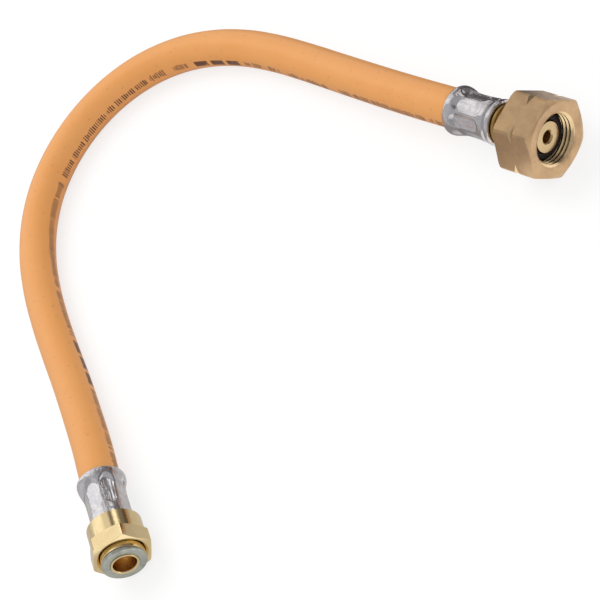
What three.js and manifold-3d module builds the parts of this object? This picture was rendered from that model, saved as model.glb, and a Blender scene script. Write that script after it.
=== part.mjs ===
// Flexible gas hose: a rubber hose with a crimped union fitting at each end, lying on a table.
// Millimetres, +Z up, the table at z = 0. Each fitting is modelled along its own +Y, from the
// hose's cut end at y = 0 out to its sealing face, and then laid where the hose ends.
import * as THREE from 'three';
import { mergeVertices } from 'three/addons/utils/BufferGeometryUtils.js';
import Module from 'manifold-3d';

const wasm = await Module();
wasm.setup();

// Sizes that the pieces share.
const fit = 0.3;                  // clearance between touching pieces
const roundSteps = 36;            // facets round a turned piece
const hoseOuter = 16.3;           // outside diameter of the rubber
const hoseBore = 6.3;
const hoseSides = 12;
const hoseSteps = 70;

// Crimped ferrule.
const ferruleGrip = 18.7;         // how far it reaches back over the hose
const ferruleNose = 2.2;          // how far it reaches past the hose's cut end
const ferruleLip = 1.3;           // thickness of its lip in the nipple's groove
const bulgeRadius = 9.95;         // uncrimped rim at the hose side
const bulgeBack = 1.7;            // from the rim to where the bulge is widest
const slopeLength = 7.4;          // from there down to the waist
const ridgeRadius = 8.65;         // between two jaw marks
const panelRadius = 8.0;          // bottom of a jaw mark
const crimpBore = 14.3;           // inside diameter once crimped
const crimpBack = 4.5;            // from the rim to where the bore is crimped
const jawCount = 8;
const jawWidth = 5.5;
const jawLength = 12;
const jawBack = 5.5;              // from the rim to the jaw marks
const jawReach = 5;               // how far a jaw reaches out past the sleeve

// Nipple tail, alike at both ends.
const gasBore = 4.6;
const tailRadius = 3.0;
const barbRadius = 3.4;
const barbCount = 4;
const tailLength = 18.6;
const grooveRadius = 5.5;

// Large end: union nut with a notched hexagon, nipple with a flat nose in a rubber ring.
const large = {
  ferruleEnd: 18.2, firstJaw: 0,
  flats: 30, corner: 34, nutStart: 15.2, nutLength: 17, rearWall: 3.4, socket: 19.6,
  mouth: 22.6, mouthDepth: 1.4, frontChamfer: 1.2, rearChamfer: 0.5,
  notchDepth: 1.35, notchWidth: 2.2, nutTurn: 4.4,
  shoulder: 18, shoulderLength: 5, neck: 14.4, collar: 18.6, collarLength: 4,
  nose: 12.4, noseLength: 3.4, noseSink: 4.4,
  sealOuter: 18.8, sealThickness: 2.8,
};

// Small end: union nut with a short hexagon, nipple with a collar, washer and spigot.
const small = {
  ferruleEnd: 17.2, firstJaw: 7,
  flats: 22.5, corner: 25.6, nutStart: 5, nutLength: 15.2, rearWall: 3.8, socket: 18.5,
  mouth: 20.4, mouthDepth: 0.8, frontChamfer: 0.9, rearChamfer: 0.7, hexLength: 6.65, body: 22,
  nutTurn: -5.5,
  neck: 12.6, collar: 17.9, collarLength: 4.4, collarProud: 1.9,
  spigot: 11.4, spigotLength: 2, mouthBore: 9.3, mouthBoreDepth: 9.5,
  washerOuter: 18, washerThickness: 1.3,
};

// Where the hose's centre line lies, from the small fitting's end to the large one's.
const route = [
  [-102.09, 32.47, 11.785], [-97.15, 41.17, 11.785], [-92.19, 49.87, 11.65],
  [-83.19, 65.27, 11], [-74.69, 81.67, 9.85], [-66.29, 98.47, 8.75], [-57.69, 115.97, 8.3],
  [-48.49, 133.57, 8.2], [-38.19, 150.77, 8.2], [-26.39, 166.47, 8.2], [-12.49, 179.77, 8.2],
  [3.41, 189.67, 8.2], [21.11, 195.27, 8.2], [39.61, 196.17, 8.2], [57.61, 191.87, 8.2],
  [73.51, 182.47, 8.2], [86.31, 168.57, 8.2], [95.31, 151.57, 8.2], [100.71, 132.97, 8.2],
  [103.21, 113.67, 8.35], [104.01, 93.97, 8.8], [103.91, 74.37, 10], [103.56, 54.97, 11.8],
  [103.26, 35.87, 13.7], [103.39, 16.97, 15.1], [103.81, 4.57, 15.5], [104.26, -8.43, 15.565],
  [104.68, -20.43, 15.565],
].map(([x, y, z]) => new THREE.Vector3(x, y, z));
const smallHeading = 240.4;       // way out of the small fitting, in degrees from +X
const largeHeading = 272;

const colours = {
  rubber: 0xd9772f, steel: 0xb4b3b2, satinBrass: 0xb89668, brightBrass: 0xd2b56c,
  seal: 0x1b1714, washer: 0x94968f,
};

// A closed geometry as a manifold-3d solid, with doubled vertices and empty triangles dropped.
function toSolid(geometry) {
  const bare = geometry.clone();
  bare.deleteAttribute('normal');
  bare.deleteAttribute('uv');
  const merged = mergeVertices(bare, 1e-3);
  const index = merged.index.array;
  const triangles = [];
  for (let i = 0; i < index.length; i += 3) {
    const [a, b, c] = [index[i], index[i + 1], index[i + 2]];
    if (a !== b && b !== c && c !== a) triangles.push(a, b, c);
  }
  return new wasm.Manifold(new wasm.Mesh({
    numProp: 3,
    vertProperties: Float32Array.from(merged.attributes.position.array),
    triVerts: Uint32Array.from(triangles),
  }));
}

function toGeometry(solid) {
  const mesh = solid.getMesh();
  const geometry = new THREE.BufferGeometry();
  geometry.setAttribute('position', new THREE.BufferAttribute(Float32Array.from(mesh.vertProperties), 3));
  geometry.setIndex([...mesh.triVerts]);
  geometry.computeVertexNormals();
  return geometry;
}

// Revolves a closed outline of [radius, y] pairs about the fitting's axis. The outline runs
// anticlockwise with the radius to the right.
function turn(outline, steps = roundSteps) {
  const points = [...outline, outline[0]].map(([r, y]) => new THREE.Vector2(r, y));
  return toSolid(new THREE.LatheGeometry(points, steps));
}

// A solid disc or cone along the axis, from one end to the other.
function plug(outline, steps = roundSteps) {
  return turn([[0, outline[0][1]], ...outline, [0, outline.at(-1)[1]]], steps);
}

// A hexagonal bar along +Y with a flat on top and one underneath.
function hexBar(acrossFlats, start, length) {
  const shape = new THREE.Shape();
  for (let k = 0; k < 6; k++) {
    const angle = k * Math.PI / 3;
    const r = acrossFlats / 2 / Math.cos(Math.PI / 6);
    shape[k ? 'lineTo' : 'moveTo'](r * Math.cos(angle), r * Math.sin(angle));
  }
  const bar = new THREE.ExtrudeGeometry(shape, { depth: length, bevelEnabled: false });
  bar.rotateX(-Math.PI / 2).translate(0, start, 0);
  return toSolid(bar);
}

// The hose: an extruded ring, squeezed by the crimp and opened by the nipple at each end.
function hoseSolid(ends) {
  const ring = (r) => Array.from({ length: hoseSides }, (_, k) => {
    const angle = k * 2 * Math.PI / hoseSides;
    return new THREE.Vector2(r * Math.cos(angle), r * Math.sin(angle));
  });
  const section = new THREE.Shape(ring(hoseOuter / 2));
  section.holes.push(new THREE.Path(ring(hoseBore / 2)));
  const path = new THREE.CatmullRomCurve3(route);
  let hose = toSolid(new THREE.ExtrudeGeometry(section, { steps: hoseSteps, extrudePath: path }));
  const squeezed = crimpBore / 2 - fit;
  const crimpEnd = -ferruleGrip + crimpBack - 1.9;
  const crimpRing = [
    [squeezed, crimpEnd + 1.5], [hoseOuter / 2, crimpEnd - 0.6], [hoseOuter, crimpEnd - 0.6],
    [hoseOuter, 3], [squeezed, 3],
  ];
  const tailRoom = [[barbRadius + fit, -tailLength - 1], [barbRadius + fit, 3]];
  for (const end of ends) {
    hose = hose.subtract(place(turn(crimpRing), end)).subtract(place(plug(tailRoom), end));
  }
  return hose;
}

// Pressed steel sleeve: rolled rim and bulge over the hose, a long slope down to a waist with
// jaw marks, and a lip at the nipple. Its nut end may flare out or stay slim.
function ferrule(e) {
  const back = -ferruleGrip;
  const widest = back + bulgeBack;
  const inner = crimpBore / 2;
  const mouth = hoseOuter / 2 + fit;
  const end = e.ferruleEnd / 2;
  const slope = (t) => [
    bulgeRadius + (ridgeRadius - bulgeRadius) * t * t * (3 - 2 * t), widest + slopeLength * t,
  ];
  const outside = [
    [mouth + 0.1, back], [mouth + 0.7, back + 0.15], [bulgeRadius - 0.35, back + 0.7],
    [bulgeRadius - 0.07, back + 1.2], [bulgeRadius, widest], slope(0.2), slope(0.4), slope(0.6),
    slope(0.8), slope(1), [ridgeRadius, -4.6], [(ridgeRadius + end) / 2, -1.6],
    [end, ferruleNose - 0.9], [end, ferruleNose - 0.3], [end - 0.3, ferruleNose],
  ];
  const inside = [
    [grooveRadius + fit, ferruleNose], [grooveRadius + fit, ferruleNose - ferruleLip],
    [inner, ferruleNose - ferruleLip], [inner, back + crimpBack], [mouth, back + crimpBack - 2.1],
  ];
  let sleeve = turn([...outside, ...inside]);
  const half = jawWidth / 2;
  const mark = new THREE.Shape();
  mark.absarc(0, jawLength / 2 - half, half, 0, Math.PI);
  mark.absarc(0, half - jawLength / 2, half, Math.PI, 2 * Math.PI);
  const jaw = new THREE.ExtrudeGeometry(mark, {
    depth: jawReach, bevelEnabled: false, curveSegments: 5,
  });
  jaw.translate(0, back + jawBack + jawLength / 2, panelRadius);
  for (let k = 0; k < jawCount; k++) {
    const turned = jaw.clone().rotateY(THREE.MathUtils.degToRad(e.firstJaw + k * 360 / jawCount));
    sleeve = sleeve.subtract(toSolid(turned));
  }
  return sleeve;
}

// The part of a nipple that both ends share: barbed tail and groove, as an outline from the
// tail's tip to the groove's far side.
function tailOutline() {
  const barb = tailLength / (barbCount + 0.5);
  const outline = [[tailRadius - 0.2, -tailLength]];
  for (let k = 0; k < barbCount; k++) {
    const y = -tailLength + k * barb;
    outline.push([barbRadius, y + barb * 0.7], [tailRadius, y + barb * 0.75]);
  }
  const lipBack = ferruleNose - ferruleLip - fit;
  outline.push([tailRadius, lipBack], [grooveRadius, lipBack], [grooveRadius, ferruleNose + fit]);
  return outline;
}

// Large nipple: polished shoulder, neck, collar and flat nose with a countersunk gas hole.
function largeNipple() {
  const e = large;
  const start = ferruleNose + fit;
  const face = e.nutStart + e.nutLength - e.noseSink;
  const seat = face - e.noseLength;
  const s = e.shoulder / 2;
  const outline = [
    ...tailOutline(),
    [s - 1.2, start], [s - 0.3, start + 0.6], [s, start + 1.8], [s - 0.1, start + 3],
    [s - 0.9, start + e.shoulderLength - 0.8], [e.neck / 2, start + e.shoulderLength],
    [e.neck / 2, seat - e.collarLength], [e.collar / 2, seat - e.collarLength], [e.collar / 2, seat],
    [e.nose / 2, seat], [e.nose / 2, face - 0.3], [e.nose / 2 - 0.3, face],
  ];
  const hole = [[gasBore / 2, -tailLength - 1], [gasBore / 2, face - 0.4], [gasBore / 2 + 0.6, face + 0.2]];
  return plug(outline).subtract(plug(hole));
}

function largeSeal() {
  const e = large;
  const back = e.nutStart + e.nutLength - e.noseSink - e.noseLength + fit;
  const [inner, outer, front] = [e.nose / 2 + fit, e.sealOuter / 2, back + e.sealThickness];
  return turn([
    [inner, back], [outer, back], [outer, front - 0.5], [outer - 0.5, front], [inner, front],
  ]);
}

// A nut's hole for the nipple's neck, its socket and the countersink at its mouth.
function nutCavity(e) {
  const front = e.nutStart + e.nutLength;
  const socketStart = e.nutStart + e.rearWall;
  return plug([
    [e.neck / 2 + fit, e.nutStart - 1], [e.neck / 2 + fit, socketStart],
    [e.socket / 2, socketStart], [e.socket / 2, front - e.mouthDepth],
    [e.mouth / 2, front], [e.mouth / 2, front + 1],
  ]);
}

// Large nut: a hexagon with turned corners, chamfered at both ends, with a V groove that only
// reaches the corners.
function largeNut() {
  const e = large;
  const front = e.nutStart + e.nutLength;
  const middle = e.nutStart + e.nutLength * 0.48;
  const turned = plug([
    [e.corner / 2 - e.rearChamfer * 1.7, e.nutStart], [e.corner / 2, e.nutStart + e.rearChamfer],
    [e.corner / 2, front - e.frontChamfer], [e.corner / 2 - e.frontChamfer * 2, front],
  ]);
  const bottom = e.corner / 2 - e.notchDepth;
  const groove = turn([
    [bottom, middle], [e.corner / 2 + 0.5, middle - e.notchWidth / 2 - 0.4],
    [e.corner / 2 + 0.5, middle + e.notchWidth / 2 + 0.4],
  ]);
  return hexBar(e.flats, e.nutStart - 1, e.nutLength + 2)
    .intersect(turned).subtract(groove).subtract(nutCavity(e)).rotate([0, e.nutTurn, 0]);
}

// Small nut: a round turned body behind a short chamfered hexagon.
function smallNut() {
  const e = small;
  const front = e.nutStart + e.nutLength;
  const hexStart = front - e.hexLength;
  const turned = plug([
    [e.body / 2, hexStart - 1], [e.body / 2, hexStart - e.rearChamfer / 2],
    [e.corner / 2, hexStart + e.rearChamfer / 2],
    [e.corner / 2, front - e.frontChamfer], [e.corner / 2 - e.frontChamfer * 2, front],
  ]);
  const round = plug([
    [e.body / 2 - 0.4, e.nutStart], [e.body / 2, e.nutStart + 0.4], [e.body / 2, hexStart + 1],
  ]);
  return hexBar(e.flats, hexStart - 0.5, e.hexLength + 1)
    .intersect(turned).add(round).subtract(nutCavity(e)).rotate([0, e.nutTurn, 0]);
}

// Small nipple: neck, collar that stands proud of the nut, spigot and a bore that steps down.
function smallNipple() {
  const e = small;
  const seat = e.nutStart + e.nutLength + e.collarProud;
  const face = seat + e.spigotLength;
  const outline = [
    ...tailOutline(),
    [e.neck / 2, ferruleNose + fit], [e.neck / 2, seat - e.collarLength],
    [e.collar / 2, seat - e.collarLength], [e.collar / 2, seat - 0.3], [e.collar / 2 - 0.3, seat],
    [e.spigot / 2, seat], [e.spigot / 2, face - 0.2], [e.spigot / 2 - 0.2, face],
  ];
  const step = face - e.mouthBoreDepth;
  const bore = [
    [gasBore / 2, -tailLength - 1], [gasBore / 2, step - 1.4], [e.mouthBore / 2, step],
    [e.mouthBore / 2, face - 0.4], [e.mouthBore / 2 + 0.5, face + 0.1],
  ];
  return plug(outline).subtract(plug(bore));
}

function smallWasher() {
  const e = small;
  const back = e.nutStart + e.nutLength + e.collarProud + fit;
  const [inner, outer, front] = [e.spigot / 2 + fit, e.washerOuter / 2, back + e.washerThickness];
  return turn([[inner, back], [outer, back], [outer, front], [inner, front]]);
}

// Lays a solid or a group at one end of the hose, its +Y along that end's heading.
function placement(end) {
  const matrix = new THREE.Matrix4().makeRotationZ(THREE.MathUtils.degToRad(end.heading - 90));
  return matrix.setPosition(end.at);
}

function place(solid, end) {
  return toSolid(toGeometry(solid).applyMatrix4(placement(end)));
}

function piece(name, solid, colour, roughness, metalness) {
  const material = new THREE.MeshStandardMaterial({ color: colour, roughness, metalness });
  const mesh = new THREE.Mesh(toGeometry(solid), material);
  mesh.name = name;
  return mesh;
}

function fitting(end, pieces) {
  const group = new THREE.Group();
  group.add(...pieces);
  group.applyMatrix4(placement(end));
  return group;
}

const smallEnd = { at: route[0], heading: smallHeading };
const largeEnd = { at: route.at(-1), heading: largeHeading };

const model = new THREE.Group();
model.add(
  piece('hose', hoseSolid([smallEnd, largeEnd]), colours.rubber, 0.6, 0),
  fitting(largeEnd, [
    piece('large_ferrule', ferrule(large), colours.steel, 0.3, 1),
    piece('large_nipple', largeNipple(), colours.brightBrass, 0.25, 1),
    piece('large_seal', largeSeal(), colours.seal, 0.7, 0),
    piece('large_nut', largeNut(), colours.satinBrass, 0.45, 1),
  ]),
  fitting(smallEnd, [
    piece('small_ferrule', ferrule(small), colours.steel, 0.3, 1),
    piece('small_nipple', smallNipple(), colours.brightBrass, 0.25, 1),
    piece('small_washer', smallWasher(), colours.washer, 0.5, 0.6),
    piece('small_nut', smallNut(), colours.brightBrass, 0.2, 1),
  ]),
);

export default model;
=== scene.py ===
# %% [markdown]
# # Flexible gas hose
# A rubber hose for bottled gas lies on a table in an open hook shape, with a crimped union fitting
# at each end. The CAD model is packed already and serves as a fixed frame: it says where each piece
# is and how big it is. This notebook builds the pieces again with the detail that the eye wants,
# gives each one its real finish, with painted shade in a few steel and brass colours, and lights
# them as a small product studio would.
#
# Lengths are in metres. Where a size is easier to read in millimetres, it is multiplied by MM.

# %% Load the frame
import math

import bpy
from mathutils import Matrix, Vector


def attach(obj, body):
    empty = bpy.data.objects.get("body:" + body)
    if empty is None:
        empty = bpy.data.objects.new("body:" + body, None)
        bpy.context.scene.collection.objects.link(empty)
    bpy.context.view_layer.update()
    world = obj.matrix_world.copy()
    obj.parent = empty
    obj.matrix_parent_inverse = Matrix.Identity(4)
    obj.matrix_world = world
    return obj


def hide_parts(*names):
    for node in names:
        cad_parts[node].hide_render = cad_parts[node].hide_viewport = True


MM = 0.001
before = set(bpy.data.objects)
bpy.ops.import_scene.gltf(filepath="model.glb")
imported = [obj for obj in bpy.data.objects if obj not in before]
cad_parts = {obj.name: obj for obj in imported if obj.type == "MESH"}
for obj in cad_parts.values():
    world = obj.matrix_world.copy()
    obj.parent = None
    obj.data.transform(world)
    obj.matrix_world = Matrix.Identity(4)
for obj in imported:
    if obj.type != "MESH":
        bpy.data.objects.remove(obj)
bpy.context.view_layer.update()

# %% [markdown]
# ## Camera
# The camera comes first, because everything after it is seen through it. The hose lies flat, and
# the camera looks down on it at 45 degrees, rolled to one side so that the hook stands upright in
# the frame. Three unit vectors say how it is turned: to its right, upwards, and backwards.

# %% Camera
camera_right = Vector((0.55854, -0.65082, -0.51426))
camera_up = Vector((0.81614, 0.32046, 0.48085))
camera_back = camera_right.cross(camera_up)
camera = bpy.data.objects.new("camera", bpy.data.cameras.new("camera"))
camera.data.sensor_width = 36
camera.data.lens = 114.05
turned = Matrix((camera_right, camera_up, camera_back)).transposed().to_4x4()
camera.matrix_world = Matrix.Translation((-0.10177, -0.498, 0.54041)) @ turned
bpy.context.scene.collection.objects.link(camera)
bpy.context.scene.camera = camera
print("camera looks down at", round(math.degrees(math.asin(camera_back.z)), 1), "degrees")

# %% [markdown]
# ## The hose
# A gas hose is a stiff tube that keeps its round section and takes the largest bend it can find.
# Its centre line is a row of points, the same as in the CAD source. A smooth curve goes through
# them, and rings of vertices are laid along it with as little twist as possible. A curve object
# with a bevel would be quicker, but a mesh lets the ends be squeezed by the crimp and opened by the
# nipple, and it gets a UV map in metres, which the print along the hose needs.

# %% Centre line
route = [Vector(p) * MM for p in [
    (-102.09, 32.47, 11.785), (-97.15, 41.17, 11.785), (-92.19, 49.87, 11.65),
    (-83.19, 65.27, 11), (-74.69, 81.67, 9.85), (-66.29, 98.47, 8.75), (-57.69, 115.97, 8.3),
    (-48.49, 133.57, 8.2), (-38.19, 150.77, 8.2), (-26.39, 166.47, 8.2), (-12.49, 179.77, 8.2),
    (3.41, 189.67, 8.2), (21.11, 195.27, 8.2), (39.61, 196.17, 8.2), (57.61, 191.87, 8.2),
    (73.51, 182.47, 8.2), (86.31, 168.57, 8.2), (95.31, 151.57, 8.2), (100.71, 132.97, 8.2),
    (103.21, 113.67, 8.35), (104.01, 93.97, 8.8), (103.91, 74.37, 10), (103.56, 54.97, 11.8),
    (103.26, 35.87, 13.7), (103.39, 16.97, 15.1), (103.81, 4.57, 15.5), (104.26, -8.43, 15.565),
    (104.68, -20.43, 15.565),
]]


def between(p0, p1, p2, p3, t):
    """A point of the centripetal Catmull-Rom curve from p1 to p2."""
    k0 = 0
    k1 = k0 + (p1 - p0).length ** 0.5
    k2 = k1 + (p2 - p1).length ** 0.5
    k3 = k2 + (p3 - p2).length ** 0.5
    k = k1 + (k2 - k1) * t
    a = p0 * (k1 - k) / (k1 - k0) + p1 * (k - k0) / (k1 - k0)
    b = p1 * (k2 - k) / (k2 - k1) + p2 * (k - k1) / (k2 - k1)
    c = p2 * (k3 - k) / (k3 - k2) + p3 * (k - k2) / (k3 - k2)
    d = a * (k2 - k) / (k2 - k0) + b * (k - k0) / (k2 - k0)
    e = b * (k3 - k) / (k3 - k1) + c * (k - k1) / (k3 - k1)
    return d * (k2 - k) / (k2 - k1) + e * (k - k1) / (k2 - k1)


STEPS = 12                         # rings of the hose for each step of its route
padded_route = [route[0] * 2 - route[1], *route, route[-1] * 2 - route[-2]]
line = [between(*padded_route[i:i + 4], j / STEPS)
        for i in range(len(route) - 1) for j in range(STEPS)]
line.append(route[-1])
travel = [0.0]
for here, there in zip(line, line[1:]):
    travel.append(travel[-1] + (there - here).length)
hose_length = travel[-1]
print("hose is cut to", round(hose_length / MM), "mm")

# %% Hose mesh
HOSE_RADIUS = 8.15 * MM
HOSE_SIDES = 48
PRINT_ANGLE = math.radians(88)     # from the top of the hose, towards the inside of the bend
# In mm: where the crimp ends, counted from the cut end, over what length it eases off, its depth.
CRIMP_END, CRIMP_EASE, CRIMP_DEPTH = 16.4, 1.8, 1.35
# In mm: the bore's radius, its radius round the nipple's tail, and how far in that reaches.
BORE, OPENED_BORE, OPENED_END = 3.15, 3.75, 19.6


def hose_radius(distance):
    """Outside radius: squeezed inside each ferrule, full where the hose is free."""
    from_end = min(distance, hose_length - distance) / MM
    squeeze = min(max((CRIMP_END - from_end) / CRIMP_EASE, 0), 1)
    return HOSE_RADIUS - squeeze * squeeze * (3 - 2 * squeeze) * CRIMP_DEPTH * MM


def bore_radius(distance):
    """Inside radius: wider where the nipple's tail fills it."""
    from_end = min(distance, hose_length - distance) / MM
    return (OPENED_BORE if from_end < OPENED_END else BORE) * MM


def rings_along(points):
    """A pair of unit vectors across the line at each point, carried along without twist."""
    across = Vector((0, 0, 1))
    frames = []
    for i, _ in enumerate(points):
        ahead = (points[min(i + 1, len(points) - 1)] - points[max(i - 1, 0)]).normalized()
        across = (across - ahead * across.dot(ahead)).normalized()
        frames.append((across, ahead.cross(across)))
    return frames


def tube(name, points, distances, sides):
    """A hollow tube along the points: its outside, both cut ends and its bore."""
    frames = rings_along(points)
    order = list(range(len(points)))
    rows = [(i, hose_radius(distances[i])) for i in order]
    rows += [(i, bore_radius(distances[i])) for i in reversed(order)]
    vertices, faces = [], []
    for i, radius in rows:
        up, left = frames[i]
        for k in range(sides):
            angle = 2 * math.pi * k / sides + math.pi + PRINT_ANGLE
            vertices.append(points[i] + radius * (up * math.cos(angle) + left * math.sin(angle)))
    for row in range(len(rows)):
        after = (row + 1) % len(rows)
        for k in range(sides):
            k2 = (k + 1) % sides
            faces.append((row * sides + k, row * sides + k2, after * sides + k2, after * sides + k))
    mesh = bpy.data.meshes.new(name)
    mesh.from_pydata(vertices, [], faces)
    uv = mesh.uv_layers.new(name="along").data
    for face in mesh.polygons:
        row = face.index // sides
        for corner, loop in enumerate(face.loop_indices):
            i = rows[row if corner < 2 else (row + 1) % len(rows)][0]
            k = face.index % sides + (corner in (1, 2))
            uv[loop].uv = (distances[i], (k / sides - 0.5) * 2 * math.pi * HOSE_RADIUS)
    piece = bpy.data.objects.new(name, mesh)
    bpy.context.scene.collection.objects.link(piece)
    return piece


hose = tube("rubber_hose", line, travel, HOSE_SIDES)
print("hose has", len(hose.data.polygons), "faces")

# %% [markdown]
# ## Helpers for turned pieces
# Most of the fittings are turned on a lathe, so one helper turns them here too. It adds a circle,
# then extrudes it ring by ring along the outline and scales each ring to its radius. That is what a
# modeller does by hand. Each fitting is built along +Y, from the hose's cut end at y = 0 out to its
# sealing face, and is laid at its end of the hose when it is finished.

# %% Helpers
SMALL_TURN, LARGE_TURN = 150.4, 182      # degrees from +Y to where each fitting points
ends = {
    "small": Matrix.Translation(route[0]) @ Matrix.Rotation(math.radians(SMALL_TURN), 4, "Z"),
    "large": Matrix.Translation(route[-1]) @ Matrix.Rotation(math.radians(LARGE_TURN), 4, "Z"),
}


def start():
    """Deselects everything, so that the next operator acts on the new piece alone."""
    if bpy.context.object and bpy.context.object.mode == "EDIT":
        bpy.ops.object.mode_set(mode="OBJECT")
    bpy.ops.object.select_all(action="DESELECT")


def only(piece):
    """Selects one piece and makes it the active one."""
    start()
    piece.select_set(True)
    bpy.context.view_layer.objects.active = piece


def turn(name, outline, sides=96):
    """Turns a closed outline of (radius, y) pairs in millimetres about the Y axis."""
    start()
    radius, y = outline[0]
    bpy.ops.mesh.primitive_circle_add(
        vertices=sides, radius=radius * MM, location=(0, y * MM, 0), rotation=(-math.pi / 2, 0, 0))
    piece = bpy.context.object
    piece.name = piece.data.name = name
    bpy.ops.object.transform_apply()
    bpy.ops.object.mode_set(mode="EDIT")
    for new_radius, new_y in [*outline[1:], outline[0]]:
        bpy.ops.mesh.extrude_region_move(
            TRANSFORM_OT_translate={"value": (0, (new_y - y) * MM, 0)})
        scale = new_radius / radius
        bpy.ops.transform.resize(value=(scale, 1, scale), center_override=(0, new_y * MM, 0))
        radius, y = new_radius, new_y
    tidy_mesh()
    return piece


def tidy_mesh():
    """In edit mode: merges doubled vertices, points the faces outwards and leaves edit mode."""
    bpy.ops.mesh.select_all(action="SELECT")
    bpy.ops.mesh.remove_doubles(threshold=1e-6)
    bpy.ops.mesh.normals_make_consistent(inside=False)
    bpy.ops.object.mode_set(mode="OBJECT")


def modify(piece, kind, **settings):
    """Adds a modifier with its settings and applies it."""
    only(piece)
    modifier = piece.modifiers.new(kind.lower(), kind)
    for setting, value in settings.items():
        setattr(modifier, setting, value)
    bpy.ops.object.modifier_apply(modifier=modifier.name)


def cut(piece, tool, operation="DIFFERENCE"):
    """Cuts the piece with another one, joins it to it or keeps what they share."""
    modify(piece, "BOOLEAN", object=tool, operation=operation, solver="EXACT")
    bpy.data.objects.remove(tool)


def spin(piece, degrees):
    """Turns a nut about its axis by a few degrees, as it lies on one of its edges."""
    only(piece)
    piece.rotation_euler = (0, math.radians(degrees), 0)
    bpy.ops.object.transform_apply()


def lay(piece, end, angle=30):
    """Lays a finished piece at its end of the hose, its own origin back at the world's."""
    only(piece)
    piece.matrix_world = ends[end] @ piece.matrix_world
    bpy.ops.object.transform_apply(location=True, rotation=True, scale=True)
    bpy.ops.object.shade_smooth_by_angle(angle=math.radians(angle))
    print(piece.name, "has", len(piece.data.polygons), "faces")
    return piece


# %% [markdown]
# ## Ferrules
# A ferrule is a thin steel cup pushed over the hose. A press with eight jaws squeezes it, and
# leaves eight flat marks with rounded ends and a narrow ridge between each two. Its rim stays round
# where the jaws don't reach. The sleeve is turned with closely spaced rings first. Then each vertex
# under a jaw is pushed in to the jaw's face, with a soft wall round the mark, because pressed sheet
# metal has no sharp step. Boolean cuts would leave just such steps.

# %% Ferrule outline
def smooth_outline(points, spacing=0.35):
    """Rounds off a row of (radius, y) points and spaces them closely."""
    row = [Vector((r, y, 0)) for r, y in points]
    row = [row[0] * 2 - row[1], *row, row[-1] * 2 - row[-2]]
    out = []
    for i in range(len(points) - 1):
        count = max(1, round((row[i + 2] - row[i + 1]).length / spacing))
        out += [between(*row[i:i + 4], j / count) for j in range(count)]
    return [(p.x, p.y) for p in [*out, row[-2]]]


small_ferrule_outside = [
    (8.6, -18.7), (9.1, -18.62), (9.6, -18.2), (9.88, -17.6), (9.95, -16.9), (9.84, -15.8),
    (9.5, -14.2), (9.08, -12.5), (8.76, -11), (8.56, -9.5), (8.46, -7.5), (8.42, -4), (8.44, -1),
    (8.5, 1.2), (8.62, 3.0), (8.6, 3.9), (8.3, 4.5),
]
large_ferrule_outside = [
    (8.6, -18.7), (9.1, -18.62), (9.6, -18.2), (9.9, -17.6), (9.98, -16.9), (9.86, -15.8),
    (9.5, -14.2), (9.05, -12.5), (8.74, -11), (8.58, -9.2), (8.54, -7), (8.58, -4.6), (8.68, -2.4),
    (8.82, -0.4), (8.88, 0.8), (8.75, 1.6), (8.32, 2.15), (8.4, 2.6), (9.0, 2.95), (9.25, 3.6),
    (9.22, 4.6), (9.0, 5.1), (8.6, 5.35), (8.0, 5.35), (7.8, 5.1),
]
ferrule_inside = [
    (7.7, 4.4), (7.5, 3.9), (7.5, 2.7), (5.9, 2.2), (5.85, 1.3), (7.0, 0.9), (7.15, 0.4),
    (7.15, -14.0), (7.5, -14.9), (8.45, -16.3), (8.45, -18.3),
]


# %% Press the jaw marks
JAW_STEP = math.pi / 4             # eight jaws
JAW_FACE, JAW_HALF_WIDTH = 8.0, 2.75     # in mm, the face measured from the axis
JAW_FIRST, JAW_LAST = -13.4, -1.3        # in mm, the ends of a mark along the sleeve
WALL_OVERLAP, WALL_SLOPE, WALL_SOFTNESS = 0.25, 0.95, 0.35
SLEEVE_INSIDE = 7.9                # in mm, vertices nearer to the axis aren't pressed


def press(radius_x, y):
    """How far out the sleeve may stand at a place across and along a jaw."""
    nearest = min(max(y, JAW_FIRST + JAW_HALF_WIDTH), JAW_LAST - JAW_HALF_WIDTH)
    outside = math.hypot(radius_x, y - nearest) - JAW_HALF_WIDTH
    wall = max(outside + WALL_OVERLAP, 0)
    return JAW_FACE + WALL_SLOPE * wall * wall / (wall + WALL_SOFTNESS)


def soft_min(a, b, softness=0.12):
    """The smaller of two values, with the corner between them rounded off."""
    h = min(max(0.5 + 0.5 * (b - a) / softness, 0), 1)
    return b + (a - b) * h - softness * h * (1 - h)


def ferrule(name, outside, first_jaw, sides=160):
    """Turns a sleeve and presses it. The first jaw's angle from the top is in degrees."""
    piece = turn(name, smooth_outline(outside) + ferrule_inside, sides)
    for vertex in piece.data.vertices:
        x, y, z = vertex.co / MM
        if math.hypot(x, z) < SLEEVE_INSIDE:
            continue
        angle = math.atan2(x, z) - math.radians(first_jaw)
        jaw = round(angle / JAW_STEP) * JAW_STEP + math.radians(first_jaw)
        out = x * math.sin(jaw) + z * math.cos(jaw)
        across = x * math.cos(jaw) - z * math.sin(jaw)
        out = soft_min(out, press(across, y))
        vertex.co.x = (out * math.sin(jaw) + across * math.cos(jaw)) * MM
        vertex.co.z = (out * math.cos(jaw) - across * math.sin(jaw)) * MM
    return piece


large_ferrule = lay(ferrule("large_sleeve", large_ferrule_outside, 8), "large", 40)
small_ferrule = lay(ferrule("small_sleeve", small_ferrule_outside, 3), "small", 40)
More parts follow.
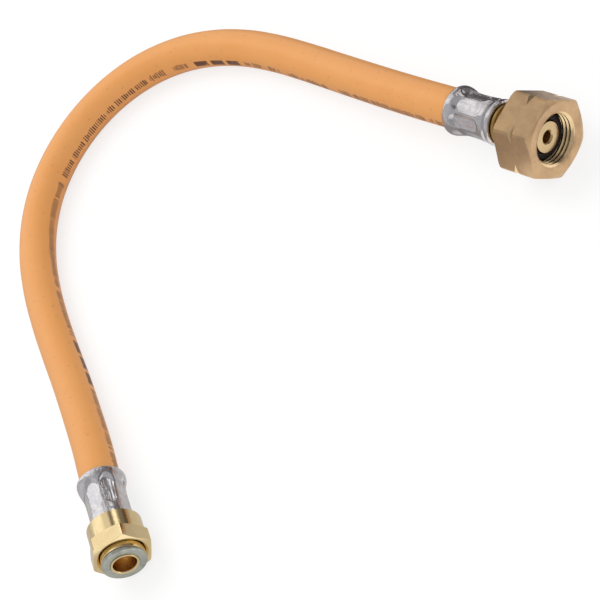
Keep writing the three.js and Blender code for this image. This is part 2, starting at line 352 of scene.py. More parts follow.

# %% [markdown]
# ## Nipples, seal and washer
# Each nipple is one turned brass piece: a barbed tail inside the hose, a groove that holds the
# ferrule, a neck, and the collar that its nut pulls on. At the large end a polished ring shows
# behind the nut, and a flat disc with a small hole shows inside it. At the small end the collar
# stands out of the nut, with a washer and a wide bore. The neck with that ring, and the bore, get
# a darker brass later on as painted shade. All of them come from the turning helper.
# Small bevels on their edges catch the light, as on real turned parts.

# %% Nipple tail
# In mm, like all outlines.
GAS_BORE = 2.3
TAIL_LENGTH, BARBS = 18.6, 4
TIP_RADIUS, BARB_RADIUS, TAIL_RADIUS = 2.8, 3.38, 3.0


def tail():
    """Outline of the barbed tail and the ferrule's groove, from the tip outwards."""
    step = TAIL_LENGTH / (BARBS + 0.5)
    outline = [(TIP_RADIUS, -TAIL_LENGTH)]
    for k in range(BARBS):
        y = -TAIL_LENGTH + k * step
        outline += [(BARB_RADIUS, y + step * 0.7), (TAIL_RADIUS, y + step * 0.75)]
    return outline + [(TAIL_RADIUS, 0.6), (5.5, 0.6), (5.5, 2.5)]


def round_edges(piece, width, segments=3):
    """Rounds every edge that is sharper than 32 degrees."""
    modify(piece, "BEVEL", width=width * MM, segments=segments, limit_method="ANGLE",
           angle_limit=math.radians(32))


# %% Large nipple and its seal
large_nipple = turn("large_nipple_brass", tail() + [
    (7.1, 3.0), (7.1, 5.6), (7.9, 5.6), (8.1, 5.9), (8.1, 6.9), (7.8, 7.3), (7.2, 7.5),
    (7.2, 20.4), (9.3, 20.4), (9.3, 24.4), (6.2, 24.4), (6.2, 27.8),
    (GAS_BORE + 0.7, 27.8), (GAS_BORE, 27.1), (GAS_BORE, -TAIL_LENGTH),
])
round_edges(large_nipple, 0.18)
lay(large_nipple, "large")
large_seal = turn("large_rubber_ring", [
    (6.4, 24.7), (9.4, 24.7), (9.4, 26.5), (8.6, 27.1), (6.9, 27.2), (6.4, 27.0)])
round_edges(large_seal, 0.25)
lay(large_seal, "large")

# %% Small nipple and its washer
small_nipple = turn("small_nipple_brass", tail() + [
    (6.3, 2.5), (6.3, 17.7), (8.95, 17.7), (8.95, 22.1), (5.7, 22.1), (5.7, 24.1), (5.0, 24.1),
    (4.65, 23.7), (4.65, 14.6), (GAS_BORE, 13.2), (GAS_BORE, -TAIL_LENGTH),
])
round_edges(small_nipple, 0.16)
lay(small_nipple, "small")
small_washer = turn("small_washer_ring", [
    (5.78, 22.4), (9.0, 22.4), (9.0, 23.35), (8.65, 23.7), (5.78, 23.7)])
round_edges(small_washer, 0.12)
lay(small_washer, "small")

# %% [markdown]
# ## Union nuts
# The large nut starts as a hexagonal bar. A lathe takes the points off its corners and chamfers
# both ends, a narrow V is cut across the middle of every corner, which marks a left-hand thread,
# and the socket is threaded. Here the same tools do the same jobs: a turned blank keeps what it
# shares with the bar, a turned V and a turned plug are cut away, and the thread is cut by a tap, a
# plug whose radius rises and falls along a helix. The nut's edges are rounded afterwards, and only
# those outside the socket, because a bevel would blunt the thread.

# %% Hexagonal bar
def hexagon(name, flats, first, last, edge):
    """A bar along Y with a flat on top, its long edges rounded off."""
    start()
    bpy.ops.mesh.primitive_cylinder_add(
        vertices=6, radius=flats / 2 / math.cos(math.pi / 6) * MM, depth=(last - first) * MM,
        location=(0, (first + last) / 2 * MM, 0), rotation=(-math.pi / 2, math.pi / 6, 0))
    piece = bpy.context.object
    piece.name = piece.data.name = name
    bpy.ops.object.transform_apply()
    bpy.ops.object.mode_set(mode="EDIT")
    bpy.ops.mesh.select_all(action="DESELECT")
    bpy.ops.object.mode_set(mode="OBJECT")
    for e in piece.data.edges:
        a, b = (piece.data.vertices[v].co for v in e.vertices)
        e.select = abs(a.y - b.y) > 0.5 * MM
    bpy.ops.object.mode_set(mode="EDIT")
    bpy.ops.mesh.select_mode(type="EDGE")
    bpy.ops.mesh.bevel(offset=edge * MM, segments=3)
    tidy_mesh()
    return piece


def solid(name, outline, sides=128):
    """A turned plug: the outline's two ends are closed on the axis."""
    return turn(name, [(0.01, outline[0][1]), *outline, (0.01, outline[-1][1])], sides)


# %% Thread tap
ROWS_PER_TURN = 15
LEFT_HAND = -1
# Where the thread's flank starts, how long it is, where the root ends and how long the way back is,
# as shares of the pitch.
FLANK_START, FLANK, ROOT_END, WAY_BACK = 0.15, 0.5, 0.72, 0.28


def tap(name, minor, major, pitch, first, last, hand, sides=96):
    """A closed cutter whose radius rises and falls along a helix."""
    start()
    rows = round((last - first) / pitch * ROWS_PER_TURN)
    points = []
    for i in range(rows + 1):
        y = first + (last - first) * i / rows
        for j in range(sides):
            share = (y / pitch + hand * j / sides) % 1
            if share < ROOT_END:
                depth = min(1, max(0, share - FLANK_START) / FLANK)
            else:
                depth = (1 - share) / WAY_BACK
            r, angle = minor + (major - minor) * depth, 2 * math.pi * j / sides
            points.append(Vector((r * math.cos(angle), y, r * math.sin(angle))) * MM)
    faces = [tuple(range(sides)), tuple(range((rows + 1) * sides - 1, rows * sides - 1, -1))]
    for i in range(rows):
        for j in range(sides):
            k, n = i * sides + j, i * sides + (j + 1) % sides
            faces.append((k, k + sides, n + sides, n))
    mesh = bpy.data.meshes.new(name)
    mesh.from_pydata(points, [], faces)
    piece = bpy.data.objects.new(name, mesh)
    bpy.context.scene.collection.objects.link(piece)
    return piece


def round_outer(piece, width, reach):
    """Rounds the sharp edges that lie farther from the Y axis than reach, in mm."""
    only(piece)
    bpy.ops.object.mode_set(mode="EDIT")
    bpy.ops.mesh.select_mode(type="EDGE")
    bpy.ops.mesh.select_all(action="DESELECT")
    bpy.ops.mesh.edges_select_sharp(sharpness=math.radians(25))
    bpy.ops.object.mode_set(mode="OBJECT")
    for edge in piece.data.edges:
        corners = (piece.data.vertices[v].co for v in edge.vertices)
        edge.select = edge.select and min(math.hypot(c.x, c.z) for c in corners) > reach * MM
    bpy.ops.object.mode_set(mode="EDIT")
    bpy.ops.mesh.bevel(offset=width * MM, segments=2, clamp_overlap=True)
    bpy.ops.object.mode_set(mode="OBJECT")


# %% Large nut
NOTCH_MIDDLE, NOTCH_REACH = 23.36, 1.7
THREAD_REACH, SOCKET_START = 10.72, 18
NUT_SMOOTHING = 28                 # degrees
large_nut = hexagon("large_nut_brass", 30, 14.5, 32.2, 0.12)
cut(large_nut, solid("blank", [
    (16.15, 14.5), (17.0, 15.0), (17.0, 31.0), (14.6, 32.2)]), "INTERSECT")
cut(large_nut, turn("notch", [(15.65, NOTCH_MIDDLE), (17.6, 21.8), (17.6, 24.92)], 128))
cut(large_nut, solid("cavity", [
    (7.5, 14.0), (7.5, 18.6), (9.85, 18.6), (9.85, 31.0), (10.75, 31.65), (12.0, 32.2),
    (12.0, 33.0)]))
cut(large_nut, tap("tap", 9.6, 10.6, 1.81, 19.43, 33.5, LEFT_HAND))
round_outer(large_nut, 0.12, 11.5)
fresh_cuts = []
for face in large_nut.data.polygons:
    x, y, z = face.center / MM
    in_notch = abs(y - NOTCH_MIDDLE) < NOTCH_REACH and abs(face.normal.y) > 0.3
    in_socket = math.hypot(x, z) < THREAD_REACH and y > SOCKET_START
    fresh_cuts.append(in_notch or in_socket)
print("cut surfaces:", sum(fresh_cuts), "faces")
spin(large_nut, 4.4)
lay(large_nut, "large", NUT_SMOOTHING)

# %% Small nut
small_nut = hexagon("small_nut_brass", 22.5, 13.2, 20.2, 0.2)
cut(small_nut, solid("blank", [
    (11.1, 13.2), (12.8, 13.9), (12.8, 19.3), (11.0, 20.2)]), "INTERSECT")
cut(small_nut, solid("body", [(10.6, 5.0), (11.0, 5.4), (11.0, 15.0)]), "UNION")
cut(small_nut, solid("cavity", [
    (6.6, 4.0), (6.6, 8.8), (9.25, 8.8), (9.25, 19.4), (10.2, 20.2), (10.2, 21.0)]))
round_edges(small_nut, 0.12, 2)
spin(small_nut, -5.5)
lay(small_nut, "small", NUT_SMOOTHING)

# %% [markdown]
# ## Finishes
# Rubber, plated steel, brass and the washer's metal each get a material from shader nodes, and the
# print is part of the hose's. Effects that several of them share are node groups: a fine grain,
# dull spots from handling, the pits of a blasted surface, the rings left by turning, and streaks
# along a drawn sleeve. Groups only put out values. The shader itself stays in each material.


# %% Node helpers
def add(tree, kind, inputs=None, **settings):
    """Adds a node, sets its options and its unlinked inputs."""
    node = tree.nodes.new(kind)
    for setting, value in settings.items():
        setattr(node, setting, value)
    for socket, value in (inputs or {}).items():
        node.inputs[socket].default_value = value
    return node


def link(tree, source, target, out=0, into=0):
    """Links two nodes by the names or numbers of their sockets."""
    tree.links.new(source.outputs[out], target.inputs[into])


def new_group(name, inputs, outputs):
    """A node group with named inputs and outputs. Each input is (name, type, value)."""
    group = bpy.data.node_groups.new(name, "ShaderNodeTree")
    for label, kind, value in inputs:
        socket = group.interface.new_socket(label, in_out="INPUT", socket_type="NodeSocket" + kind)
        if value is not None:
            socket.default_value = value
    for label, kind in outputs:
        group.interface.new_socket(label, in_out="OUTPUT", socket_type="NodeSocket" + kind)
    return group, group.nodes.new("NodeGroupInput"), group.nodes.new("NodeGroupOutput")


# %% Shared effects
grain, came_in, goes_out = new_group(
    "fine_grain", [("Vector", "Vector", None), ("Scale", "Float", 1.0)], [("Height", "Float")])
noise = add(grain, "ShaderNodeTexNoise", {"Detail": 3.0, "Roughness": 0.6})
link(grain, came_in, noise, "Vector", "Vector")
link(grain, came_in, noise, "Scale", "Scale")
link(grain, noise, goes_out, "Fac", "Height")

smudge, came_in, goes_out = new_group(
    "handling", [("Vector", "Vector", None), ("Scale", "Float", 0.1), ("Clean", "Float", 0.2),
                 ("Dull", "Float", 0.4)], [("Roughness", "Float"), ("Mask", "Float")])
noise = add(smudge, "ShaderNodeTexNoise", {"Detail": 5.0, "Roughness": 0.65, "Distortion": 0.6})
steps = add(smudge, "ShaderNodeMapRange", {"From Min": 0.38, "From Max": 0.68})
spread = add(smudge, "ShaderNodeMapRange")
link(smudge, came_in, noise, "Vector", "Vector")
link(smudge, came_in, noise, "Scale", "Scale")
link(smudge, noise, steps, "Fac", "Value")
link(smudge, steps, spread, "Result", "Value")
link(smudge, came_in, spread, "Clean", "To Min")
link(smudge, came_in, spread, "Dull", "To Max")
link(smudge, spread, goes_out, "Result", "Roughness")
link(smudge, steps, goes_out, "Result", "Mask")

pits, came_in, goes_out = new_group(
    "pits", [("Vector", "Vector", None), ("Scale", "Float", 1.0)],
    [("Height", "Float"), ("Mask", "Float")])
cells = add(pits, "ShaderNodeTexVoronoi", {"Randomness": 1.0})
bottom = add(pits, "ShaderNodeMapRange", {"From Min": 0.05, "From Max": 0.3})
where = add(pits, "ShaderNodeTexNoise", {"Scale": 0.35, "Detail": 2.0})
some = add(pits, "ShaderNodeMapRange", {"From Min": 0.5, "From Max": 0.62})
both = add(pits, "ShaderNodeMath", operation="MULTIPLY")
flip = add(pits, "ShaderNodeMath", {0: 1.0}, operation="SUBTRACT")
height = add(pits, "ShaderNodeMath", {0: 1.0}, operation="SUBTRACT")
link(pits, came_in, cells, "Vector", "Vector")
link(pits, came_in, cells, "Scale", "Scale")
link(pits, came_in, where, "Vector", "Vector")
link(pits, cells, bottom, "Distance", "Value")
link(pits, bottom, flip, "Result", 1)
link(pits, where, some, "Fac", "Value")
link(pits, flip, both, 0, 0)
link(pits, some, both, "Result", 1)
link(pits, both, height, 0, 1)
link(pits, height, goes_out, 0, "Height")
link(pits, both, goes_out, 0, "Mask")

rings, came_in, goes_out = new_group(
    "turning_rings", [("Vector", "Vector", None), ("Pitch", "Float", 6.0)], [("Height", "Float")])
wave = add(rings, "ShaderNodeTexWave", {"Distortion": 0.4, "Detail": 2.0, "Detail Scale": 2.0},
           wave_type="BANDS", bands_direction="Y")
link(rings, came_in, wave, "Vector", "Vector")
link(rings, came_in, wave, "Pitch", "Scale")
link(rings, wave, goes_out, "Fac", "Height")

streaks, came_in, goes_out = new_group(
    "streaks", [("Vector", "Vector", None), ("Scale", "Float", 0.5)], [("Height", "Float")])
stretch = add(streaks, "ShaderNodeMapping", {"Scale": (1, 0.07, 1)})
noise = add(streaks, "ShaderNodeTexNoise", {"Detail": 3.0, "Roughness": 0.55})
link(streaks, came_in, stretch, "Vector", "Vector")
link(streaks, stretch, noise, "Vector", "Vector")
link(streaks, came_in, noise, "Scale", "Scale")
link(streaks, noise, goes_out, "Fac", "Height")
print("shared effects:", [g.name for g in (grain, smudge, pits, rings, streaks)])


# %% A material on object coordinates in millimetres
METRES_TO_MM = (1000, 1000, 1000)
FIRST_COLOUR, SECOND_COLOUR, MIXED_COLOUR = 6, 7, 2      # sockets of a mix node set to colours


def material(name, turn_by=0):
    """A new material, its shader, and a vector in millimetres with Y along the fitting."""
    made = bpy.data.materials.new(name)
    made.use_nodes = True
    tree = made.node_tree
    shader = tree.nodes["Principled BSDF"]
    where = add(tree, "ShaderNodeTexCoord")
    to_mm = add(tree, "ShaderNodeMapping", {
        "Scale": METRES_TO_MM, "Rotation": (0, 0, math.radians(turn_by))})
    link(tree, where, to_mm, "Object", "Vector")
    return made, tree, shader, to_mm


def effect(tree, group, vector, **values):
    """Adds a shared effect, with values for its inputs."""
    node = add(tree, "ShaderNodeGroup", node_tree=group)
    for name, value in values.items():
        node.inputs[name].default_value = value
    link(tree, vector, node, 0, "Vector")
    return node


def bump(tree, shader, heights, distance):
    """Chains heights, each with its own strength, into the shader's normal."""
    last = None
    for source, socket, strength in heights:
        step = add(tree, "ShaderNodeBump", {"Strength": strength, "Distance": distance * MM})
        link(tree, source, step, socket, "Height")
        if last:
            link(tree, last, step, "Normal", "Normal")
        last = step
    link(tree, last, shader, "Normal", "Normal")


def mix_colours(tree, mask, socket, first, second):
    """Mixes two colours by a mask. Each is a tuple or another mix."""
    node = add(tree, "ShaderNodeMix", data_type="RGBA")
    for place, value in ((FIRST_COLOUR, first), (SECOND_COLOUR, second)):
        if isinstance(value, tuple):
            node.inputs[place].default_value = (*value, 1)
        else:
            tree.links.new(value.outputs[MIXED_COLOUR], node.inputs[place])
    tree.links.new(mask.outputs[socket], node.inputs[0])
    return node


def paint(tree, shader, colour, wear):
    """Gives the shader its mixed colour and its roughness."""
    link(tree, colour, shader, MIXED_COLOUR, "Base Color")
    link(tree, wear, shader, "Roughness", "Roughness")


# %% Metals
def metal(name, colour, stain, clean, dull, turn_by=0, ring=0.0, grain_size=2.5, grain_depth=0.05,
          stain_scale=0.12, streak=0.0, depth=0.1):
    """A metal with stains. Clean and dull are the roughness without and with them."""
    made, tree, shader, vector = material(name, turn_by)
    shader.inputs["Metallic"].default_value = 1
    wear = effect(tree, smudge, vector, Scale=stain_scale, Clean=clean, Dull=dull)
    paint(tree, shader, mix_colours(tree, wear, "Mask", colour, stain), wear)
    heights = [(effect(tree, grain, vector, Scale=grain_size), "Height", grain_depth)]
    if ring:
        heights.append((effect(tree, rings, vector, Pitch=5.0), "Height", ring))
    if streak:
        heights.append((effect(tree, streaks, vector), "Height", streak))
    bump(tree, shader, heights, depth)
    return made


steel = {"clean": 0.14, "dull": 0.3, "grain_size": 0.5, "grain_depth": 0.35, "stain_scale": 0.2,
         "streak": 1.0, "depth": 0.3}
# The large sleeve is the same plated steel as the small one, coloured darker as painted shade.
painted_shade_steel_large = metal("plated_steel_large", (0.66, 0.635, 0.645), (0.50, 0.485, 0.495),
                    turn_by=-LARGE_TURN, **steel)
steel_small = metal("plated_steel_small", (0.74, 0.72, 0.735), (0.56, 0.55, 0.565),
                    turn_by=-SMALL_TURN, **steel)
# The large nipple is the same bright brass as the small one, coloured darker as painted shade
# inside the nut's mouth.
painted_shade_brass_large = metal("bright_brass_large", (0.58, 0.43, 0.24), (0.52, 0.38, 0.21), 0.16, 0.3,
                     ring=0.08)
# The bore gets a darker brass than the small nipple's polished outside, as painted shade, and is
# rougher as an unpolished bore.
painted_shade_bore_brass = metal("painted_shade_bore_brass", (0.82, 0.58, 0.28), (0.68, 0.45, 0.20), 0.25, 0.4)
# The neck and the ring on it get a much darker brass: painted shade between the sleeve and the nut.
painted_shade_neck_brass = metal("painted_shade_neck_brass", (0.46, 0.30, 0.10), (0.34, 0.21, 0.07), 0.25, 0.4, ring=0.1)
bright_small = metal("bright_brass_small", (0.87, 0.70, 0.40), (0.80, 0.62, 0.33), 0.07, 0.17,
                     turn_by=-SMALL_TURN, ring=0.05)
washer_metal = metal("washer_metal", (0.58, 0.60, 0.54), (0.42, 0.45, 0.41), 0.38, 0.6,
                     turn_by=-SMALL_TURN, ring=0.15, stain_scale=0.3)
cut_brass = metal("cut_brass", (0.80, 0.61, 0.36), (0.68, 0.48, 0.25), 0.2, 0.34,
                  turn_by=-LARGE_TURN)

satin, tree, shader, vector = material("satin_brass")
shader.inputs["Metallic"].default_value = 1
wear = effect(tree, smudge, vector, Scale=0.15, Clean=0.36, Dull=0.5)
pitted = effect(tree, pits, vector, Scale=1.1)
base = mix_colours(tree, wear, "Mask", (0.56, 0.375, 0.205), (0.48, 0.315, 0.185))
spots = mix_colours(tree, pitted, "Mask", base, (0.30, 0.19, 0.10))
paint(tree, shader, spots, wear)
blasted = effect(tree, grain, vector, Scale=4.0)
bump(tree, shader, [(blasted, "Height", 0.25), (pitted, "Height", 0.3)], 0.1)

# %% [markdown]
# The hose is printed along the inside of its bend, in one line of small dark marks about 4 mm
# high: plain strokes in groups, with three short bars at two places. The UV map has the distance
# along the hose in u and the distance from the printed line in v, both in metres.

# %% Print
marks, came_in, goes_out = new_group(
    "print_marks", [("Vector", "Vector", None), ("Height", "Float", 3.7)], [("Mask", "Float")])


def math_node(kind, first, second=None, tree=marks):
    """A math node on sockets or plain numbers. Gives back its output."""
    node = add(tree, "ShaderNodeMath", operation=kind)
    for place, value in enumerate((first, second)):
        if value is None:
            continue
        if isinstance(value, (int, float)):
            node.inputs[place].default_value = value
        else:
            tree.links.new(value, node.inputs[place])
    return node.outputs[0]


def step_up(value, low, high, tree=marks):
    """0 below low, 1 above high, smooth between."""
    node = add(tree, "ShaderNodeMapRange", {"From Min": low, "From Max": high},
               interpolation_type="SMOOTHSTEP")
    tree.links.new(value, node.inputs["Value"])
    return node.outputs["Result"]


split = add(marks, "ShaderNodeSeparateXYZ")
link(marks, came_in, split, "Vector", 0)
along, off = split.outputs["X"], split.outputs["Y"]
wobble = add(marks, "ShaderNodeTexNoise", {"Scale": 0.9, "Detail": 0.0}, noise_dimensions="1D")
marks.links.new(along, wobble.inputs["W"])
sway = add(marks, "ShaderNodeTexNoise", {"Scale": 0.02, "Detail": 0.0}, noise_dimensions="1D")
marks.links.new(along, sway.inputs["W"])
from_line = math_node("SUBTRACT", sway.outputs["Fac"], 0.5)
off = math_node("SUBTRACT", off, math_node("MULTIPLY", from_line, 2.2))
# Strokes: about one every 1.25 mm, uneven in width and height.
STROKES_PER_MM = 0.8
phase = math_node("FRACT", math_node("MULTIPLY", along, STROKES_PER_MM))
from_middle = math_node("ABSOLUTE", math_node("SUBTRACT", phase, 0.5))
half_wide = math_node("MULTIPLY", wobble.outputs["Fac"], 0.42)
stroke = math_node("SUBTRACT", 1.0, step_up(
    math_node("SUBTRACT", from_middle, half_wide), 0.0, 0.1))
cell = add(marks, "ShaderNodeTexWhiteNoise", noise_dimensions="1D")
marks.links.new(math_node("FLOOR", math_node("MULTIPLY", along, STROKES_PER_MM)), cell.inputs["W"])
short = math_node("MULTIPLY", cell.outputs["Value"], 0.22)
reach = math_node("SUBTRACT", 0.5, short)
half_high = math_node("MULTIPLY", came_in.outputs["Height"], reach)
inside = math_node("SUBTRACT", 1.0, step_up(
    math_node("SUBTRACT", math_node("ABSOLUTE", off), half_high), -0.15, 0.25))
# Groups: gaps about every 12 mm, at uneven places.
gap_noise = add(marks, "ShaderNodeTexNoise", {"Scale": 0.11, "Detail": 1.0}, noise_dimensions="1D")
marks.links.new(along, gap_noise.inputs["W"])
GROUPS_PER_MM = 0.083
uneven = math_node("MULTIPLY", gap_noise.outputs["Fac"], 1.3)
bend = math_node("ADD", math_node("MULTIPLY", along, GROUPS_PER_MM), uneven)
in_group = step_up(math_node("FRACT", bend), 0.13, 0.17)
# Two places with three bars each instead of strokes.
BAR_MIDDLES = (82, 311)            # mm along the hose
BAR_STEP, HALF_BARS, HALF_ZONE = 10.0, 15, 17.0
bars, plain = None, None
for middle in BAR_MIDDLES:
    near = math_node("ABSOLUTE", math_node("SUBTRACT", along, middle))
    zone = math_node("SUBTRACT", 1.0, step_up(near, HALF_ZONE, HALF_ZONE + 0.6))
    third = math_node("FRACT", math_node(
        "DIVIDE", math_node("SUBTRACT", along, middle - HALF_BARS), BAR_STEP))
    third = math_node("ABSOLUTE", math_node("SUBTRACT", third, 0.5))
    bar = math_node("MULTIPLY", math_node("SUBTRACT", 1.0, step_up(third, 0.37, 0.40)),
                    math_node("SUBTRACT", 1.0, step_up(near, HALF_BARS, HALF_BARS + 0.3)))
    bars = bar if bars is None else math_node("MAXIMUM", bars, bar)
    plain = zone if plain is None else math_node("MAXIMUM", plain, zone)
bar_high = math_node("SUBTRACT", 1.0, step_up(math_node("ABSOLUTE", off), 1.5, 1.8))
bars = math_node("MULTIPLY", math_node("MULTIPLY", bars, bar_high), 0.95)
strokes = math_node("MULTIPLY", math_node("MULTIPLY", stroke, inside), in_group)
strokes = math_node("MULTIPLY", strokes, math_node("SUBTRACT", 1.0, plain))
worn = add(marks, "ShaderNodeTexNoise", {"Scale": 0.7, "Detail": 4.0})
link(marks, came_in, worn, "Vector", "Vector")
ink = math_node("MULTIPLY", math_node("MAXIMUM", strokes, bars),
                step_up(worn.outputs["Fac"], 0.22, 0.42))
marks.links.new(ink, goes_out.inputs["Mask"])

# %% Rubber
rubber, tree, shader, vector = material("orange_rubber")
unrolled = add(tree, "ShaderNodeUVMap", uv_map="along")
in_mm = add(tree, "ShaderNodeMapping", {"Scale": METRES_TO_MM})
link(tree, unrolled, in_mm, "UV", "Vector")
printed = effect(tree, marks, in_mm)
patches = effect(tree, smudge, vector, Scale=0.05, Clean=0.34, Dull=0.46)
base = mix_colours(tree, patches, "Mask", (0.78, 0.34, 0.096), (0.79, 0.36, 0.112))
specks = effect(tree, pits, vector, Scale=0.45)
base = mix_colours(tree, specks, "Mask", base, (0.60, 0.27, 0.10))
base = mix_colours(tree, printed, "Mask", base, (0.11, 0.040, 0.022))
paint(tree, shader, base, patches)
bump(tree, shader, [(effect(tree, grain, vector, Scale=1.6), "Height", 0.10)], 0.1)

black, tree, shader, vector = material("black_rubber")
smear = effect(tree, smudge, vector, Scale=0.3, Clean=0.45, Dull=0.7)
base = mix_colours(tree, smear, "Mask", (0.006, 0.004, 0.004), (0.016, 0.010, 0.009))
paint(tree, shader, base, smear)
shader.inputs["Specular IOR Level"].default_value = 0.2
bump(tree, shader, [(effect(tree, grain, vector, Scale=3.0), "Height", 0.15)], 0.1)

# %% [markdown]
# ## Every piece on its body
# The hose, its ferrules, its nipples and their rings are one body. Each nut turns on its own. A
# piece stands for the CAD node that it covers, so that node is hidden, and it gets one of the
# finishes made above.

# %% Faces with painted shade: the bore and the neck
POLISHED, IN_BORE, ON_NECK = 0, 1, 2


def painted_shade_kinds(piece, end, reach, neck):
    """The kind of each face of a laid nipple. Its bore is what lies nearer to the axis than reach,
    and its neck lies between the two values of neck, in mm. Both get a darker brass, which paints
    the shade there."""
    to_fitting = ends[end].inverted()
    kinds = []
    for face in piece.data.polygons:
        x, y, z = to_fitting @ face.center / MM
        on_neck = neck[0] < y < neck[1]
        kinds.append(IN_BORE if math.hypot(x, z) < reach else ON_NECK if on_neck else POLISHED)
    return kinds


# %% Ride, replace and finish
pieces = [
    (hose, "hose", "hose_assembly", rubber, "hose_rubber"),
    (large_ferrule, "large_ferrule", "hose_assembly", painted_shade_steel_large, "ferrule_steel"),
    (small_ferrule, "small_ferrule", "hose_assembly", steel_small, "ferrule_steel"),
    (large_nipple, "large_nipple", "hose_assembly", painted_shade_brass_large, "bright_brass"),
    (small_nipple, "small_nipple", "hose_assembly", bright_small, "bright_brass"),
    (large_seal, "large_seal", "hose_assembly", black, "seal_rubber"),
    (small_washer, "small_washer", "hose_assembly", washer_metal, "washer_metal"),
    (large_nut, "large_nut", "large_union", satin, "satin_brass"),
    (small_nut, "small_nut", "small_union", bright_small, "bright_brass"),
]
nipples = {large_nipple: ("large", GAS_BORE + 0.3, (2.4, 20.0)),
           small_nipple: ("small", 4.8, (2.4, 17.0))}
for piece, node, body, finish, slot in pieces:
    piece.data.materials.clear()
    piece.data.materials.append(finish)
    if piece == large_nut:
        piece.data.materials.append(cut_brass)
        for face, fresh in zip(piece.data.polygons, fresh_cuts):
            face.material_index = int(fresh)
    if piece in nipples:
        piece.data.materials.append(painted_shade_bore_brass)
        piece.data.materials.append(painted_shade_neck_brass)
        for face, kind in zip(piece.data.polygons, painted_shade_kinds(piece, *nipples[piece])):
            face.material_index = kind
    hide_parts(node)
    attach(piece, body)
only(hose)
bpy.ops.object.shade_smooth_by_angle(angle=math.radians(40))

# %% [markdown]
# ## Studio
# The hose lies on a white table, under a large soft lamp behind it and a weaker one in front.
# Rubber and the table only need light, but metal shows whatever stands round it, so the metals get
# a
# room of their own: a wide bright panel at the back with a small lamp beside it, a dim wall with a
# dark foot on the right, a grey wall on the left, and a plain grey elsewhere. Only glossy rays see
# that room. The table, too, looks white to the camera. In reflections it glows with painted shade
# that darkens towards +X and painted light that is bright towards -Y.

# %% Table
# Painted shade and light that only metal sees on the table, which glows with them: darker from -X
# to +X, bright towards -Y.
PAINTED_SHADE_LEFT, PAINTED_SHADE_MIDDLE = (0.62, 0.60, 0.58), (0.36, 0.34, 0.34)
PAINTED_SHADE_RIGHT, PAINTED_LIGHT_FRONT = (0.12, 0.11, 0.12), (1.15, 1.13, 1.12)
CAMERA_GLOW, GLOW_STRENGTH = 0.72, 1.05
start()
bpy.ops.mesh.primitive_plane_add(size=6, location=(0, 0.05, 0))
table = bpy.context.object
table.name = "table"
white, tree, shader, vector = material("white_table")
shader.inputs["Roughness"].default_value = 0.9
shader.inputs["Specular IOR Level"].default_value = 0.0
shade = effect(tree, smudge, vector, Scale=0.01, Clean=0.75, Dull=0.85)
base = mix_colours(tree, shade, "Mask", (0.93, 0.93, 0.93), (0.92, 0.92, 0.92))
link(tree, base, shader, MIXED_COLOUR, "Base Color")
place = add(tree, "ShaderNodeSeparateXYZ")
link(tree, vector, place, 0, 0)


def painted_floor_mix(mask, first, second):
    """Mixes two colours of the painted shade and light on the reflected table by a math node's
    output.
    """
    return mix_colours(tree, mask.node, mask.name, first, second)


# The places where the painted shade and light change are in mm from the middle of the part.
painted_floor = painted_floor_mix(step_up(place.outputs["X"], -70, 60, tree), PAINTED_SHADE_LEFT, PAINTED_SHADE_MIDDLE)
painted_floor = painted_floor_mix(step_up(place.outputs["X"], 122, 140, tree), painted_floor, PAINTED_SHADE_RIGHT)
painted_floor = painted_floor_mix(math_node("SUBTRACT", 1.0, step_up(place.outputs["Y"], -75, -45, tree), tree),
                  painted_floor, PAINTED_LIGHT_FRONT)
painted_floor_glow = add(tree, "ShaderNodeEmission")
link(tree, painted_floor, painted_floor_glow, MIXED_COLOUR, "Color")
lit = add(tree, "ShaderNodeEmission", {"Color": (1, 1, 1, 1), "Strength": GLOW_STRENGTH})
ray = add(tree, "ShaderNodeLightPath")
to_camera = add(tree, "ShaderNodeMixShader")
to_metal = add(tree, "ShaderNodeMixShader")
tree.links.new(math_node("MULTIPLY", ray.outputs["Is Camera Ray"], CAMERA_GLOW, tree),
               to_camera.inputs[0])
link(tree, shader, to_camera, 0, 1)
link(tree, lit, to_camera, 0, 2)
link(tree, ray, to_metal, "Is Glossy Ray", 0)
link(tree, to_camera, to_metal, 0, 1)
link(tree, painted_floor_glow, to_metal, 0, 2)
link(tree, to_metal, tree.nodes["Material Output"], 0, "Surface")
table.data.materials.append(white)


# %% Lamps
def lamp(name, place, aim, size, power):
    """A square area lamp that faces a point. Shiny metal doesn't see it."""
    light = bpy.data.lights.new(name, "AREA")
    light.size, light.energy = size, power
    obj = bpy.data.objects.new(name, light)
    obj.location = place
    obj.rotation_euler = (Vector(aim) - Vector(place)).to_track_quat("-Z", "Y").to_euler()
    obj.visible_glossy = False
    bpy.context.scene.collection.objects.link(obj)


lamp("lamp_back", (0.1, 0.75, 1.0), (0, 0.07, 0), 0.9, 6)
lamp("lamp_front", (-0.5, -0.7, 0.9), (0, 0.0, 0), 0.8, 3)

# %% A room for the metals
panel, came_in, goes_out = new_group(
    "panel", [("Azimuth", "Float", 0.0), ("Height", "Float", 0.0), ("Middle", "Float", 0.0),
              ("Half width", "Float", 20.0), ("Middle height", "Float", 30.0),
              ("Half height", "Float", 20.0), ("Edge", "Float", 3.0)], [("Mask", "Float")])
across_and_up = []
for value, middle, half in (("Azimuth", "Middle", "Half width"),
                            ("Height", "Middle height", "Half height")):
    away = math_node("SUBTRACT", came_in.outputs[value], came_in.outputs[middle], panel)
    away = math_node("ABSOLUTE", away, None, panel)
    beyond = math_node("SUBTRACT", away, came_in.outputs[half], panel)
    side = math_node("DIVIDE", beyond, came_in.outputs["Edge"], panel)
    across_and_up.append(math_node("SUBTRACT", 1.0, step_up(side, -0.5, 0.5, panel), panel))
panel.links.new(math_node("MULTIPLY", *across_and_up, panel), goes_out.inputs["Mask"])

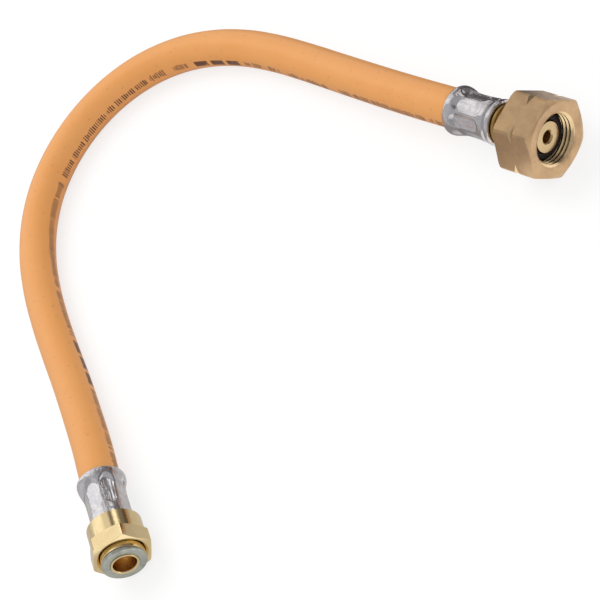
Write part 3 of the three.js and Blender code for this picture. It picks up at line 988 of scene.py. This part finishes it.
world = bpy.data.worlds.new("studio")
bpy.context.scene.world = world
world.use_nodes = True
tree = world.node_tree
tree.nodes.clear()
look = add(tree, "ShaderNodeTexCoord")
parts = add(tree, "ShaderNodeSeparateXYZ")
link(tree, look, parts, "Generated", 0)
azimuth = math_node("DEGREES", math_node(
    "ARCTAN2", parts.outputs["Y"], parts.outputs["X"], tree), None, tree)
rise = math_node("DEGREES", math_node("ARCSINE", parts.outputs["Z"], None, tree), None, tree)
room = (0.45, 0.45, 0.46)
# Each panel: middle and half width, middle height and half height, width of its soft edge, all in
# degrees, and its colour.
for middle, half, height, half_height, edge, colour in [
        (160, 38, 20, 50, 12, (0.62, 0.62, 0.64)),      # grey wall on the left
        (-5, 50, 20, 35, 8, (0.21, 0.19, 0.19)),        # dim wall on the right
        (-5, 43, 0, 10, 5, (0.06, 0.06, 0.06)),         # and its dark foot
        (76, 34.5, 35, 38, 3, (0.84, 0.82, 0.81)),      # wide panel at the back
        (93, 16.5, 35, 38, 8, (1.18, 1.18, 1.18)),      # and its bright middle
        (20, 7, 36, 9, 3, (1.6, 1.6, 1.6)),             # small lamp beside it
]:
    shape = add(tree, "ShaderNodeGroup", {
        "Middle": middle, "Half width": half, "Middle height": height,
        "Half height": half_height, "Edge": edge}, node_tree=panel)
    tree.links.new(azimuth, shape.inputs["Azimuth"])
    tree.links.new(rise, shape.inputs["Height"])
    room = mix_colours(tree, shape, "Mask", room, colour)
fill = add(tree, "ShaderNodeBackground", {"Color": (1, 1, 1, 1), "Strength": 0.66})
reflected = add(tree, "ShaderNodeBackground", {"Strength": 1.0})
link(tree, room, reflected, MIXED_COLOUR, "Color")
shown = add(tree, "ShaderNodeBackground", {"Color": (1, 1, 1, 1), "Strength": 1.0})
path = add(tree, "ShaderNodeLightPath")
glossy = add(tree, "ShaderNodeMixShader")
straight = add(tree, "ShaderNodeMixShader")
out = add(tree, "ShaderNodeOutputWorld")
link(tree, path, glossy, "Is Glossy Ray", 0)
link(tree, fill, glossy, 0, 1)
link(tree, reflected, glossy, 0, 2)
tree.links.new(math_node(
    "MAXIMUM", path.outputs["Is Camera Ray"], path.outputs["Is Transmission Ray"], tree),
    straight.inputs[0])
link(tree, glossy, straight, 0, 1)
link(tree, shown, straight, 0, 2)
link(tree, straight, out, 0, "Surface")
bpy.context.scene.view_settings.view_transform = "Standard"
